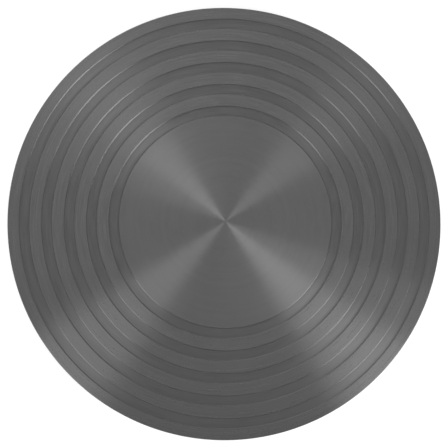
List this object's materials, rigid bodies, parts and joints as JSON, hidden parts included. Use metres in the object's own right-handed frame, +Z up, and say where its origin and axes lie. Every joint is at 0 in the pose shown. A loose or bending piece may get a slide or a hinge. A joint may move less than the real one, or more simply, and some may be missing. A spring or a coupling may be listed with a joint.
{
  "type": "heat diffuser plate",
  "caption": "Flat round heat-diffuser and thawing plate in dark hard-anodised aluminium, with a smooth turned centre disc ringed by shallow concentric grooves.",
  "frame": {"origin": "centre of the flat underside, on the surface that the plate rests on", "axes": "+Z up through the plate's axis, out of the grooved face; X and Y lie in the plate and are interchangeable because it is round"},
  "size_m": [0.24, 0.24, 0.004],
  "materials": {
    "anodised_aluminium": "dark grey hard-anodised, face-turned with fine concentric tool marks, satin"
  },
  "bodies": {
    "root": {"heat_diffuser_plate": "anodised_aluminium"}
  },
  "joints": []
}
